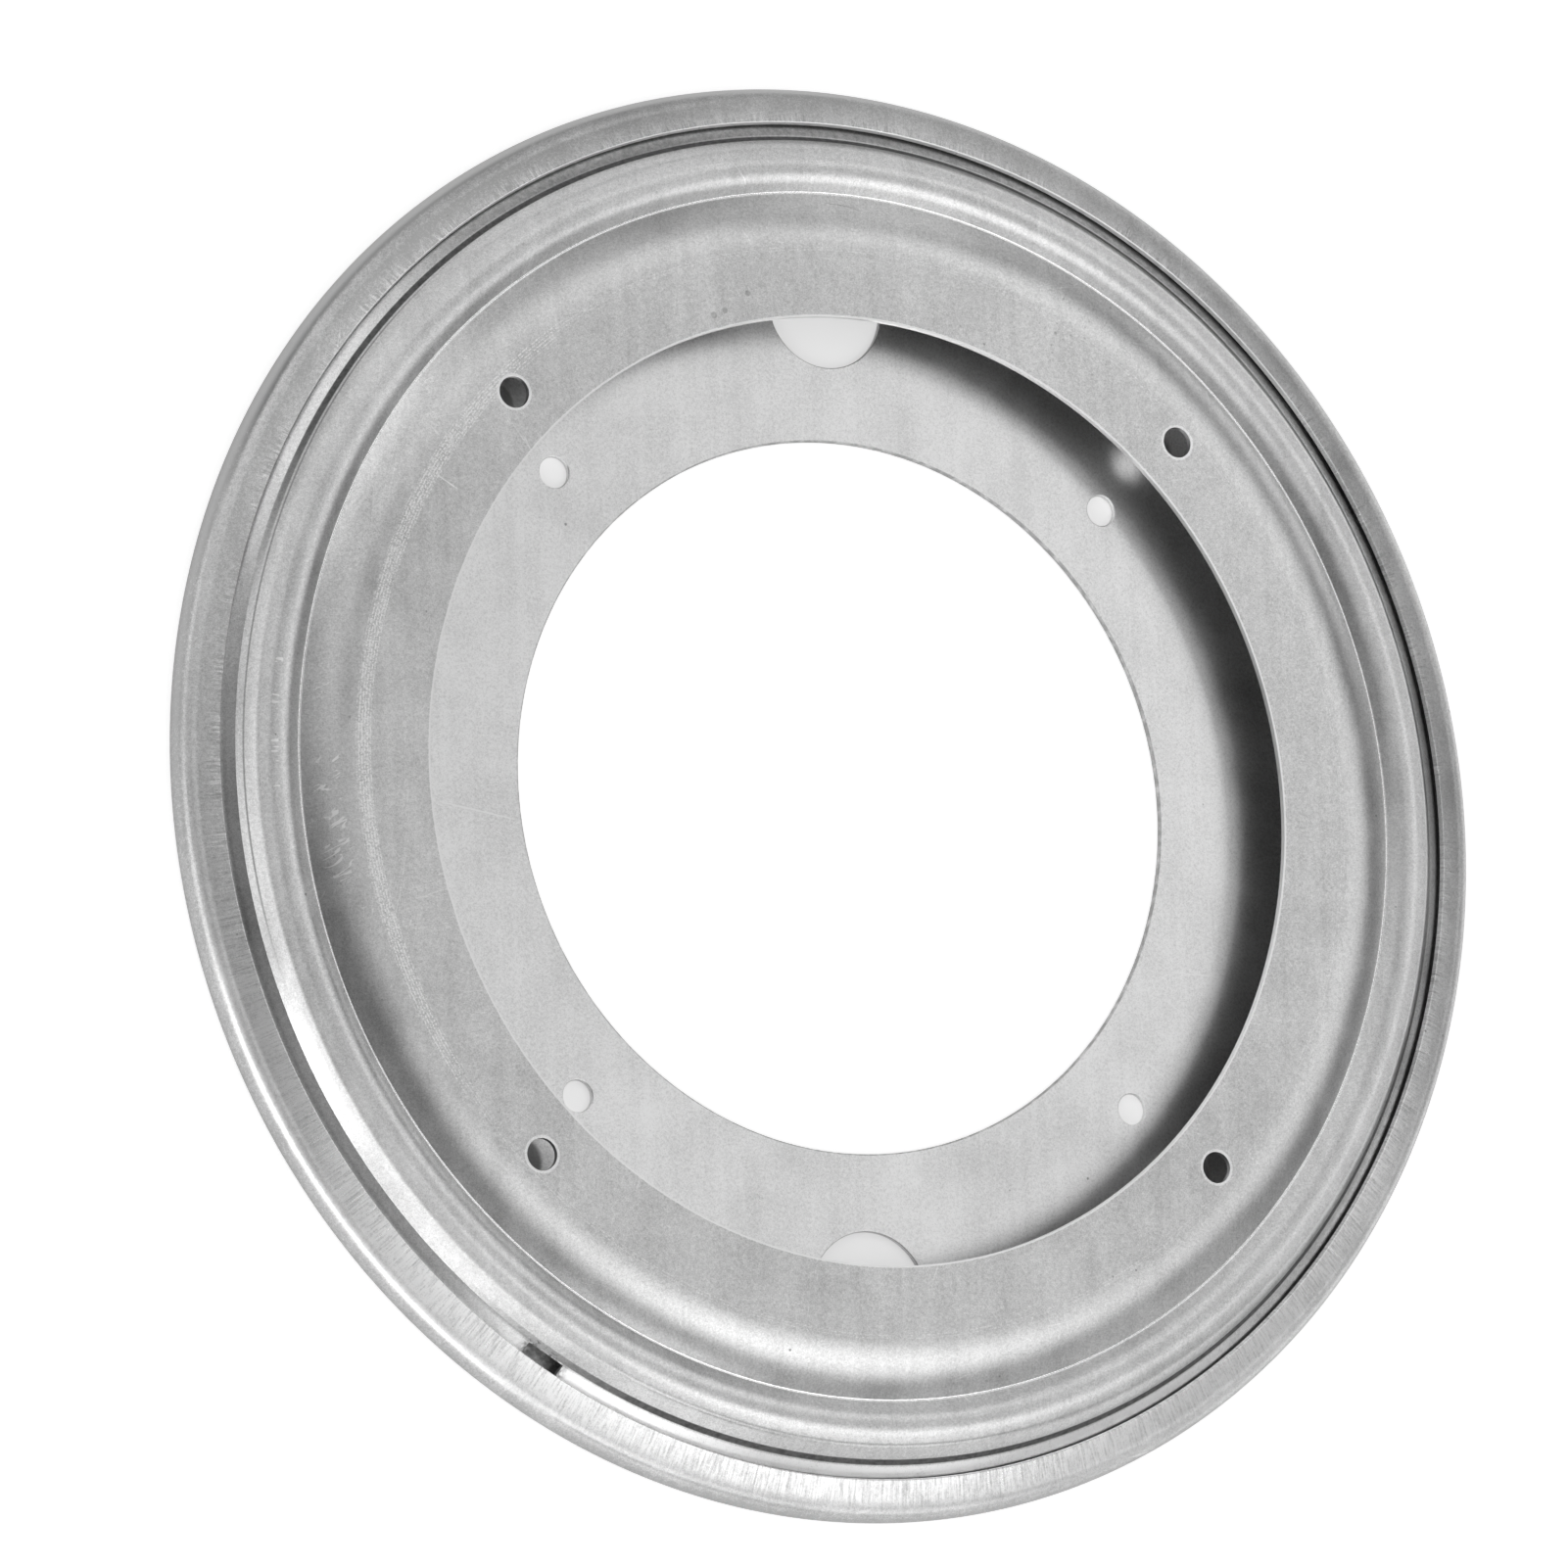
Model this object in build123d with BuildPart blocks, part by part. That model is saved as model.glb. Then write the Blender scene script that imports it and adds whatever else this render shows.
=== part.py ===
"""A round lazy susan bearing: two pressed sheet-steel plates that turn on a caged ring of steel balls.

Millimetres, +Z up. The origin is on the axis of rotation, at the underside of the base plate.
The access holes lie on the Y axis and the screw holes at 45 degrees to it.
"""

import os
from math import cos, radians, sin, tan

from build123d import *

# Sheet and rim
sheet = 1.0
rim_d = 230.0  # across the rolled rim of the base plate
rim_width = 6.5  # from the outside of the rim to its mouth
rim_drop = 3.05  # from the top of the bead down to the rim's mouth
rim_face_slope = 13.0  # the rim's face falls outwards, in degrees
rim_foot_r = 0.7  # bends are given on the middle of the sheet
wall_straight = 0.12  # upright part of the wall between its foot and its roll

# Base plate; insets are radial, from the outside of the rim
base_bore_inset = 57.75
base_screw_inset = 45.5
access_inset = 35.5
access_hole_d = 20.0
access_margin = 1.2  # flat metal between an access hole and the step to the track
track_rise = 0.8  # how far the track's shoulders stand above the flange
ridge_width = 1.6  # flat of the outer shoulder
step_run = 2.4
groove_slope = 30.0
groove_ease = 0.4  # groove radius beyond the ball's own
shoulder_bend_r = 1.5

# Turning plate
top_bore_inset = 39.25
top_screw_inset = 31.0
flange_rise = 0.75  # the flange stands this far above the bead
flange_slope = 25.0  # where the flange bends down towards the valley
flange_bend_r = 18.0
valley_depth = 1.51  # below the bead
bead_inner_slope = 28.0
bead_bend_r = 6.0  # the round of the bead, over the balls
crown_slope = 14.0  # the bead falls outwards from its round to its shoulder
crown_run = 0.2  # straight part of that fall, between the two bends
bead_outer_slope = 50.0
bead_outer_r = 3.0
tight_bend_r = 1.0
crease_ease = 0.1  # inside radius of the crease at the bead's foot

# Lip of the turning plate, held under the rim
lip_show = 2.75  # from the crease at the bead's foot to the rim's mouth
lip_slope = 26.0
lip_clearance = 0.4  # to the rim and to the base beneath
lip_overlap = 3.5  # how far the lip reaches in under the rim

# Window in the lip
window_width = 6.5
window_depth = 2.0
window_angle = -123.0

# Screw holes, alike in both plates
screw_hole_d = 5.0
screw_count = 4
screw_angle = 45.0

# Balls and cage
ball_d = 6.35
ball_count = 24
ball_clearance = 0.05  # to each track
cage_thickness = 0.8
cage_margin = 0.6  # metal around a pocket
pocket_clearance = 0.15

# Levels of the middle of the sheet, from the base upwards
half_sheet = sheet / 2
base_level = half_sheet
track_level = base_level + track_rise
ball_level = sheet + ball_clearance + ball_d / 2
bead_level = sheet + 2 * ball_clearance + ball_d + half_sheet
valley_level = bead_level - valley_depth
flange_level = bead_level + flange_rise
mouth_level = bead_level - rim_drop

# Circles of the bores and holes
rim_r = rim_d / 2
base_bore_r = rim_r - base_bore_inset
base_screw_r = rim_r - base_screw_inset
access_r = rim_r - access_inset
top_bore_r = rim_r - top_bore_inset
top_screw_r = rim_r - top_screw_inset

# Rim and lip, from the outside inwards
rim_wall_r = rim_r - half_sheet
rim_mouth_r = rim_r - rim_width
rim_corner_level = mouth_level - (rim_wall_r - rim_mouth_r) * tan(radians(rim_face_slope))
rim_roll_rise = rim_corner_level - base_level - rim_foot_r - wall_straight
rim_roll_r = rim_roll_rise / tan(radians(90 - rim_face_slope) / 2)
lip_under_mouth = mouth_level - half_sheet - (half_sheet + lip_clearance) / cos(radians(lip_slope))
crease_r = rim_mouth_r - lip_show
crease_bend_r = half_sheet + crease_ease
crease_level = lip_under_mouth + lip_show * tan(radians(lip_slope))
lip_level = track_level + sheet + lip_clearance
lip_bend_r = crease_r + (crease_level - lip_level) / tan(radians(lip_slope))
lip_edge_r = rim_mouth_r + lip_overlap

# Bead, valley and shoulder of the turning plate, on inwards
half_turn = radians(bead_inner_slope + crown_slope) / 2
outer_half_turn = radians(bead_outer_slope - crown_slope) / 2
tilt = radians(bead_inner_slope - crown_slope) / 2
apex_reach = bead_bend_r / cos(half_turn)
apex_level = bead_level - bead_bend_r + apex_reach * cos(tilt)
crown_fall = bead_bend_r * tan(half_turn) + crown_run + bead_outer_r * tan(outer_half_turn)
shoulder_level = apex_level - crown_fall * sin(radians(crown_slope))
shoulder_r = crease_r - (shoulder_level - crease_level) / tan(radians(bead_outer_slope))
apex_r = shoulder_r - crown_fall * cos(radians(crown_slope))
track_r = apex_r + apex_reach * sin(tilt)
valley_r = apex_r - (apex_level - valley_level) / tan(radians(bead_inner_slope))
flange_edge_r = valley_r - (flange_level - valley_level) / tan(radians(flange_slope))

# Groove of the base plate under the ball circle
groove_r = ball_d / 2 + groove_ease + half_sheet
groove_vertex = base_level - groove_r * (1 / cos(radians(groove_slope)) - 1)
groove_half = (track_level - groove_vertex) / tan(radians(groove_slope))
ridge_r = track_r + groove_half + ridge_width
step_r = access_r + access_hole_d / 2 + access_margin

os.makedirs("parts", exist_ok=True)

# Base plate: flange, two low ridges with the ball groove between, a wall rolled inwards over the lip
with BuildPart() as base_plate:
    with BuildSketch(Plane.XZ):
        with BuildLine():
            FilletPolyline(
                (base_bore_r, base_level),
                (step_r, base_level),
                (step_r + step_run, track_level),
                (track_r - groove_half, track_level),
                (track_r, groove_vertex),
                (track_r + groove_half, track_level),
                (ridge_r, track_level),
                (ridge_r + step_run, base_level),
                (rim_wall_r, base_level),
                (rim_wall_r, rim_corner_level),
                (rim_mouth_r, mouth_level),
                radius=[
                    shoulder_bend_r,
                    shoulder_bend_r,
                    shoulder_bend_r,
                    groove_r,
                    shoulder_bend_r,
                    shoulder_bend_r,
                    shoulder_bend_r,
                    rim_foot_r,
                    rim_roll_r,
                ],
            )
        trace(line_width=sheet)
    revolve(axis=Axis.Z)
    with PolarLocations(base_screw_r, screw_count, start_angle=screw_angle):
        Hole(screw_hole_d / 2)
    with PolarLocations(access_r, 2, start_angle=90):
        Hole(access_hole_d / 2)
base_plate.part.label = "base_plate"
export_step(base_plate.part, "parts/base_plate.step")

# Turning plate: flange, valley, bead over the balls and a lip under the rim
with BuildPart() as turning_plate:
    with BuildSketch(Plane.XZ):
        with BuildLine():
            FilletPolyline(
                (top_bore_r, flange_level),
                (flange_edge_r, flange_level),
                (valley_r, valley_level),
                (apex_r, apex_level),
                (shoulder_r, shoulder_level),
                (crease_r, crease_level),
                (lip_bend_r, lip_level),
                (lip_edge_r, lip_level),
                radius=[
                    flange_bend_r,
                    tight_bend_r,
                    bead_bend_r,
                    bead_outer_r,
                    crease_bend_r,
                    tight_bend_r,
                ],
            )
        trace(line_width=sheet)
    revolve(axis=Axis.Z)
    with PolarLocations(top_screw_r, screw_count, start_angle=screw_angle):
        Hole(screw_hole_d / 2)
    with PolarLocations(crease_r + half_sheet + window_depth / 2, 1, start_angle=window_angle):
        Box(window_depth, window_width, 2 * bead_level, mode=Mode.SUBTRACT)
turning_plate.part.label = "turning_plate"
export_step(turning_plate.part, "parts/turning_plate.step")

# Cage: a flat ring with a round pocket for each ball
with BuildPart() as ball_cage:
    with BuildSketch(Plane.XY.offset(ball_level - cage_thickness / 2)):
        Circle(track_r + ball_d / 2 + cage_margin)
        Circle(track_r - ball_d / 2 - cage_margin, mode=Mode.SUBTRACT)
        with PolarLocations(track_r, ball_count):
            Circle(ball_d / 2 + pocket_clearance, mode=Mode.SUBTRACT)
    extrude(amount=cage_thickness)
ball_cage.part.label = "ball_cage"
export_step(ball_cage.part, "parts/ball_cage.step")

# Balls, one to a pocket
for number, place in enumerate(PolarLocations(track_r, ball_count).locations, start=1):
    with BuildPart(Plane.XY.offset(ball_level) * place) as ball:
        Sphere(ball_d / 2)
    ball.part.label = f"ball_{number:02d}"
    export_step(ball.part, f"parts/{ball.part.label}.step")
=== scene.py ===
"""Looks of a pressed-steel lazy susan bearing: two plates, a caged ring of balls and a studio stage."""

from math import cos, pi, radians, sin, tan

import bmesh
import bpy
from bpy.props import FloatProperty, FloatVectorProperty, IntProperty, PointerProperty
from mathutils import Matrix, Vector


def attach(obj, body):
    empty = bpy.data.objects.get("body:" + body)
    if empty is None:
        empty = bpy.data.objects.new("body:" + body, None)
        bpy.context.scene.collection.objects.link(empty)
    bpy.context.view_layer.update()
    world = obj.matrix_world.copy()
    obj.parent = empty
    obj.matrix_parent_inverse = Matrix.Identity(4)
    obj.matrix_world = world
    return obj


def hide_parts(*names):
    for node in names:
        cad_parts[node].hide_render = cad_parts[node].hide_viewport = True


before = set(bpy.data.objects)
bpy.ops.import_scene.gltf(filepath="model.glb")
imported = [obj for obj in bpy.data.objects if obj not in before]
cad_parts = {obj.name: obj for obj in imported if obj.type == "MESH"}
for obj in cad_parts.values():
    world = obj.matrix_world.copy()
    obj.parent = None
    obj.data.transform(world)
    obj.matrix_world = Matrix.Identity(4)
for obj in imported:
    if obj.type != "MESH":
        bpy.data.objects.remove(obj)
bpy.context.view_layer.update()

bl_info = {
    "name": "Lazy Susan Bearing",
    "version": (1, 0, 0),
    "blender": (4, 5, 0),
    "location": "3D View > Sidebar > Bearing",
    "description": "Builds a pressed-steel lazy susan bearing and its studio stage",
    "category": "Object",
}

MM = 0.001

# Places round the axis, in degrees from +X
SCREW_AZIMUTHS = (45.0, 135.0, 225.0, 315.0)
WINDOW_AZIMUTH = -123.0

# Soft boxes round the bearing: name, azimuth and elevation in degrees, and power in watts
LAMPS = (
    ("right_back_grazing", 30, 8, 0.64),
    ("front_grazing", 270, 8, 0.61),
    ("back_right_low", 60, 25, 0.6),
    ("back_left_low", 105, 25, 0.45),
    ("left_back_low", 150, 25, 1.15),
    ("left_low", 180, 25, 1.22),
    ("front_left_low", 210, 25, 2.6),
    ("left_front_low", 240, 25, 2.3),
    ("front_right_low", 300, 25, 1.05),
    ("right_front_low", 330, 25, 0.43),
    ("right", 0, 42, 0.8),
    ("right_back", 30, 42, 0.75),
    ("back_right", 52, 46, 0.3),
    ("back", 90, 42, 0.31),
    ("left_back", 120, 42, 1.01),
    ("front", 270, 42, 1.5),
    ("front_left_high", 220, 56, 0.2),
    ("left_back_high", 144, 58, 0.22),
    ("back_left_high", 108, 58, 0.3),
    ("right_high", 0, 58, 0.16),
    ("right_back_high", 36, 58, 0.3),
    ("back_high", 72, 58, 0.65),
    ("front_right_high", 324, 58, 1.42),
    ("right_top", 0, 74, 0.36),
    ("left_back_top", 120, 74, 0.45),
    ("front_right_top", 300, 74, 0.74),
)

# Camera that sees the bearing as the photograph does: lens in millimetres, place in metres
CAMERA_LENS = 154.145
CAMERA_PLACE = (-0.49123, -0.18560, 0.92483)
CAMERA_RIGHT = (0.89004, -0.0428, 0.45388)
CAMERA_UP = (-0.0428, 0.98334, 0.17666)


def length(name, millimetres, description):
    """A size in the panel, kept in metres."""
    return FloatProperty(
        name=name, description=description, default=millimetres * MM, min=0.0, unit="LENGTH", precision=4
    )


def slope(name, degrees, description):
    """An angle in the panel."""
    return FloatProperty(name=name, description=description, default=radians(degrees), unit="ROTATION")


def tone(name, grey, description):
    """A colour in the panel, given as a near-neutral grey."""
    return FloatVectorProperty(
        name=name, description=description, default=(grey, grey, grey), size=3, min=0.0, max=1.0, subtype="COLOR"
    )


class BearingSizes(bpy.types.PropertyGroup):
    """Sizes of the two pressed plates; insets run inwards from the outside of the rim."""

    sheet: length("Sheet", 1.0, "Thickness of the steel")
    rim_d: length("Rim diameter", 230.0, "Across the rolled rim of the base plate")
    rim_width: length("Rim width", 6.5, "From the outside of the rim to its mouth")
    rim_drop: length("Rim drop", 3.05, "From the top of the bead down to the rim's mouth")
    rim_face_slope: slope("Rim fall", 13.0, "How far the rim's face falls outwards")
    rim_foot_r: length("Rim foot", 0.7, "Bend at the foot of the wall")
    wall_straight: length("Wall straight", 0.12, "Upright part of the wall between its foot and its roll")
    base_bore_inset: length("Base bore inset", 57.75, "From the rim to the base plate's bore")
    base_screw_inset: length("Base screw inset", 45.5, "From the rim to the base plate's screw circle")
    access_inset: length("Access inset", 35.5, "From the rim to the middle of an access hole")
    access_hole_d: length("Access hole", 20.0, "Diameter of an access hole")
    access_margin: length("Access margin", 1.2, "Flat metal between an access hole and the step")
    track_rise: length("Track rise", 0.8, "How far the track's shoulders stand above the flange")
    ridge_width: length("Ridge width", 1.6, "Flat of the track's outer shoulder")
    step_run: length("Step run", 2.4, "Width of the step from the flange up to the track")
    groove_slope: slope("Groove slope", 30.0, "Side of the ball groove")
    groove_ease: length("Groove ease", 0.4, "Groove radius beyond the ball's own")
    shoulder_bend_r: length("Shoulder bend", 1.5, "Bends at the step and the groove")
    top_bore_inset: length("Top bore inset", 39.25, "From the rim to the turning plate's bore")
    top_screw_inset: length("Top screw inset", 31.0, "From the rim to the turning plate's screw circle")
    flange_rise: length("Flange rise", 0.75, "How far the flange stands above the bead")
    flange_slope: slope("Flange slope", 25.0, "Where the flange bends down towards the valley")
    flange_bend_r: length("Flange bend", 18.0, "Bend at the flange's outer edge")
    valley_depth: length("Valley depth", 1.51, "Depth of the valley below the bead")
    bead_inner_slope: slope("Bead inner slope", 28.0, "Inner side of the bead")
    bead_bend_r: length("Bead bend", 6.0, "The round of the bead, over the balls")
    crown_slope: slope("Crown slope", 14.0, "Fall of the bead from its round out to its shoulder")
    crown_run: length("Crown straight", 0.78, "Straight part of that fall, between the two bends")
    bead_outer_slope: slope("Bead outer slope", 50.0, "Outer side of the bead")
    bead_outer_r: length("Bead outer bend", 1.2, "Outer shoulder of the bead")
    tight_bend_r: length("Tight bend", 1.0, "Bends at the valley and the lip")
    crease_ease: length("Crease ease", 0.1, "Inside radius of the crease at the bead's foot")
    lip_show: length("Lip showing", 2.75, "From the crease to the rim's mouth")
    lip_slope: slope("Lip slope", 26.0, "Fall of the lip towards the rim")
    lip_clearance: length("Lip clearance", 0.4, "Gap to the rim and to the base beneath")
    lip_overlap: length("Lip overlap", 3.5, "How far the lip reaches in under the rim")
    window_width: length("Window width", 6.5, "Along the lip")
    window_depth: length("Window depth", 2.0, "Across the lip")
    window_angle: slope("Window angle", WINDOW_AZIMUTH, "Where the window stands on the lip")
    screw_hole_d: length("Screw hole", 5.0, "Diameter of a screw hole in either plate")
    ball_d: length("Ball", 6.35, "Diameter of a ball")
    ball_clearance: length("Ball clearance", 0.05, "Gap between a ball and each track")
    edge_break: length("Edge break", 0.2, "Rounding of the sheared edges")
    turn_steps: IntProperty(name="Turn steps", description="Facets round the axis", default=384, min=24)


class BearingFinish(bpy.types.PropertyGroup):
    """Tones of the steel, the balls and the cage."""

    zinc_light: tone("Zinc, light", 0.95, "Clean zinc on the sheet")
    zinc_dark: tone("Zinc, dark", 0.45, "Dull zinc on the sheet")
    # This dark tone also colours the painted shade in creases, under the rim and where openings look down.
    grime_and_shade: tone("Grime", 0.05, "Dried oil and dust in the corners")
    ball_steel: tone("Ball steel", 0.66, "Hardened steel of the balls")
    nylon: tone("Nylon", 0.78, "Natural nylon of the cage")


class BearingStage(bpy.types.PropertyGroup):
    """The floor and the lamps."""

    floor: tone("Floor", 0.55, "Colour of the floor")
    floor_span: length("Floor span", 4000.0, "Width of the floor")
    lamp_distance: length("Lamp distance", 1300.0, "From the bearing to each lamp")
    lamp_side: length("Lamp side", 500.0, "Side of each square lamp")


class Levels:
    """Heights and radii that follow from the sizes, on the middle of the sheet."""

    def __init__(self, s):
        half = s.sheet / 2
        self.base = half
        self.track = half + s.track_rise
        self.bead = s.sheet + 2 * s.ball_clearance + s.ball_d + half
        self.valley = self.bead - s.valley_depth
        self.flange = self.bead + s.flange_rise
        self.mouth = self.bead - s.rim_drop
        rim_r = s.rim_d / 2
        self.base_bore_r = rim_r - s.base_bore_inset
        self.base_screw_r = rim_r - s.base_screw_inset
        self.access_r = rim_r - s.access_inset
        self.top_bore_r = rim_r - s.top_bore_inset
        self.top_screw_r = rim_r - s.top_screw_inset
        self.wall_r = rim_r - half
        self.mouth_r = rim_r - s.rim_width
        self.rim_corner = self.mouth - (self.wall_r - self.mouth_r) * tan(s.rim_face_slope)
        roll_rise = self.rim_corner - self.base - s.rim_foot_r - s.wall_straight
        self.rim_roll = roll_rise / tan((pi / 2 - s.rim_face_slope) / 2)
        lip_under_mouth = self.mouth - half - (half + s.lip_clearance) / cos(s.lip_slope)
        self.crease_r = self.mouth_r - s.lip_show
        self.crease_bend = half + s.crease_ease
        self.crease = lip_under_mouth + s.lip_show * tan(s.lip_slope)
        self.lip = self.track + s.sheet + s.lip_clearance
        self.lip_bend_r = self.crease_r + (self.crease - self.lip) / tan(s.lip_slope)
        self.lip_edge_r = self.mouth_r + s.lip_overlap
        tilt = (s.bead_inner_slope - s.crown_slope) / 2
        half_turn = (s.bead_inner_slope + s.crown_slope) / 2
        outer_half_turn = (s.bead_outer_slope - s.crown_slope) / 2
        reach = s.bead_bend_r / cos(half_turn)
        self.apex = self.bead - s.bead_bend_r + reach * cos(tilt)
        crown_fall = s.bead_bend_r * tan(half_turn) + s.crown_run + s.bead_outer_r * tan(outer_half_turn)
        self.shoulder = self.apex - crown_fall * sin(s.crown_slope)
        self.shoulder_r = self.crease_r - (self.shoulder - self.crease) / tan(s.bead_outer_slope)
        self.apex_r = self.shoulder_r - crown_fall * cos(s.crown_slope)
        self.track_r = self.apex_r + reach * sin(tilt)
        self.valley_r = self.apex_r - (self.apex - self.valley) / tan(s.bead_inner_slope)
        self.flange_edge_r = self.valley_r - (self.flange - self.valley) / tan(s.flange_slope)
        self.groove_bend = s.ball_d / 2 + s.groove_ease + half
        self.groove = self.base - self.groove_bend * (1 / cos(s.groove_slope) - 1)
        self.groove_half = (self.track - self.groove) / tan(s.groove_slope)
        self.ridge_r = self.track_r + self.groove_half + s.ridge_width
        self.step_r = self.access_r + s.access_hole_d / 2 + s.access_margin


def draw_section(bm, start, corners, end):
    """Draws a bent strip's section in the XZ plane: straight runs, with an arc at each corner."""
    points = [start] + [(r, z) for r, z, _ in corners] + [end]
    points = [Vector((r, 0.0, z)) for r, z in points]
    bends = [bend for _, _, bend in corners]
    tip = bmesh.ops.create_vert(bm, co=points[0])["vert"][0]
    for before, corner, after, bend in zip(points, points[1:], points[2:], bends):
        into = (corner - before).normalized()
        out = (after - corner).normalized()
        turn = into.angle(out)
        tangent = bend * tan(turn / 2)
        tip = run_to(bm, tip, corner - into * tangent)
        axis = into.cross(out).normalized()
        centre = corner - into * tangent + axis.cross(into) * bend
        steps = max(4, round(turn / radians(6)))
        arc = bmesh.ops.spin(bm, geom=[tip], cent=centre, axis=axis, angle=turn, steps=steps)
        tip = next(item for item in arc["geom_last"] if isinstance(item, bmesh.types.BMVert))
    run_to(bm, tip, points[-1])


def run_to(bm, tip, place):
    """Draws the next straight run of a section, and returns its end."""
    moved = bmesh.ops.extrude_vert_indiv(bm, verts=[tip])["verts"][0]
    bmesh.ops.translate(bm, verts=[moved], vec=place - moved.co)
    return moved


def ring(bm, radius, centre, segments):
    """A circle of edges that will bound a hole."""
    made = bmesh.ops.create_circle(bm, segments=segments, radius=radius, matrix=Matrix.Translation(centre))
    return list({edge for vert in made["verts"] for edge in vert.link_edges})


def press_plate(sizes, start, corners, end, bore_r, holes):
    """Turns a section about Z, closes its inner edge with a flat flange, and pierces the flange."""
    bm = bmesh.new()
    draw_section(bm, start, corners, end)
    bmesh.ops.spin(
        bm,
        geom=bm.verts[:] + bm.edges[:],
        cent=(0, 0, 0),
        axis=(0, 0, 1),
        angle=2 * pi,
        steps=sizes.turn_steps,
        use_merge=True,
    )
    bmesh.ops.remove_doubles(bm, verts=bm.verts[:], dist=0.002 * MM)
    flange_r = start[0]
    outline = [e for e in bm.edges if e.is_boundary and abs(e.verts[0].co.xy.length - flange_r) < 0.01 * MM]
    level = start[1]
    outline += ring(bm, bore_r, (0, 0, level), sizes.turn_steps)
    for x, y, hole_r in holes:
        outline += ring(bm, hole_r, (x, y, level), 64)
    bmesh.ops.triangle_fill(bm, edges=outline, use_beauty=True, use_dissolve=False, normal=(0, 0, 1))
    bmesh.ops.recalc_face_normals(bm, faces=bm.faces[:])
    return bm


def around(count, radius, first, hole_r):
    """Places of like holes round the axis."""
    turns = [first + 2 * pi * k / count for k in range(count)]
    return [(radius * cos(turn), radius * sin(turn), hole_r) for turn in turns]


def cut_window(bm, sizes, levels):
    """Cuts the small rectangular window through the lip."""
    out = Vector((cos(sizes.window_angle), sin(sizes.window_angle), 0))
    along = Vector((-out.y, out.x, 0))
    inner = levels.crease_r + sizes.sheet / 2
    outer = inner + sizes.window_depth
    half = sizes.window_width / 2

    def near(item):
        centre = item.calc_center_median()
        return centre.dot(out) > inner - 3 * MM and abs(centre.dot(along)) < half + 4 * MM

    cuts = [(out * inner, out), (out * outer, out), (along * half, along), (along * -half, along)]
    for place, normal in cuts:
        faces = [f for f in bm.faces if near(f)]
        near_geom = faces + list({e for f in faces for e in f.edges}) + list({v for f in faces for v in f.verts})
        bmesh.ops.bisect_plane(bm, geom=near_geom, dist=0.0005 * MM, plane_co=place, plane_no=normal)
    gone = []
    for face in bm.faces:
        centre = face.calc_center_median()
        if inner < centre.dot(out) < outer and abs(centre.dot(along)) < half:
            gone.append(face)
    if not gone:
        raise RuntimeError("the window found no lip to cut")
    bmesh.ops.delete(bm, geom=gone, context="FACES")


def finish_plate(bm, name, sizes, finish, body, node):
    """Makes the pressing an object: sheet thickness, broken edges, finish, and the body that it rides on."""
    bmesh.ops.recalc_face_normals(bm, faces=bm.faces[:])
    widest = max(bm.faces, key=lambda f: f.calc_area())
    if widest.normal.z < 0:
        bmesh.ops.reverse_faces(bm, faces=bm.faces[:])
    mesh = bpy.data.meshes.new(name)
    bm.to_mesh(mesh)
    bm.free()
    mesh.shade_smooth()
    plate = bpy.data.objects.new(name, mesh)
    bpy.context.scene.collection.objects.link(plate)
    gauge = plate.modifiers.new("sheet", "SOLIDIFY")
    gauge.thickness = sizes.sheet
    gauge.offset = 0.0
    gauge.use_even_offset = True
    gauge.use_rim = True
    broken = plate.modifiers.new("broken_edges", "BEVEL")
    broken.width = sizes.edge_break
    broken.segments = 3
    broken.profile = 0.5
    broken.limit_method = "ANGLE"
    broken.angle_limit = radians(50)
    broken.harden_normals = True
    mesh.materials.append(finish)
    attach(plate, body)
    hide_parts(node)


def put(tree, kind, wires=None, **settings):
    """Adds a shader node; wires give each input a value or another node's output."""
    made = tree.nodes.new(kind)
    for key, value in settings.items():
        setattr(made, key, value)
    for key, value in (wires or {}).items():
        if isinstance(value, bpy.types.NodeSocket):
            tree.links.new(value, made.inputs[key])
        else:
            made.inputs[key].default_value = value
    return made


def reckon(tree, operation, *values, clamp=False):
    """A sum on shader values."""
    return put(tree, "ShaderNodeMath", dict(enumerate(values)), operation=operation, use_clamp=clamp).outputs[0]


def spread(tree, value, low, high, to_low=0.0, to_high=1.0, soft=False):
    """Carries one range of a value over to another, held at its ends."""
    wires = {0: value, 1: low, 2: high, 3: to_low, 4: to_high}
    kind = "SMOOTHSTEP" if soft else "LINEAR"
    return put(tree, "ShaderNodeMapRange", wires, interpolation_type=kind, clamp=True).outputs[0]


def mottle(tree, where, scale, detail=2.0, roughness=0.5, lacunarity=2.0):
    """Noise between 0 and 1 at so many grains to the millimetre."""
    wires = {"Vector": where, "Scale": scale, "Detail": detail, "Roughness": roughness, "Lacunarity": lacunarity}
    return put(tree, "ShaderNodeTexNoise", wires, noise_dimensions="3D").outputs["Fac"]


def blend_tones(tree, share, low, high):
    """A colour between two tones."""
    return put(tree, "ShaderNodeMix", {0: share, 6: low, 7: high}, data_type="RGBA").outputs[2]


def rgba(colour):
    """A panel colour as a shader colour."""
    return (*colour, 1.0)


def times(tree, *values):
    """The product of several shader values."""
    result = values[0]
    for value in values[1:]:
        result = reckon(tree, "MULTIPLY", result, value)
    return result


def plus(tree, *values):
    """The sum of several shader values."""
    result = values[0]
    for value in values[1:]:
        result = reckon(tree, "ADD", result, value)
    return result


def most(tree, *values):
    """The greatest of several shader values."""
    result = values[0]
    for value in values[1:]:
        result = reckon(tree, "MAXIMUM", result, value)
    return result


def swing(tree, noise, amount):
    """Noise carried over to a swing about zero, this wide in all."""
    return reckon(tree, "MULTIPLY_ADD", noise, amount, -amount / 2)


def new_material(name):
    """A material with its node tree and its shader."""
    made = bpy.data.materials.new(name)
    made.use_nodes = True
    return made, made.node_tree, made.node_tree.nodes["Principled BSDF"]


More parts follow.
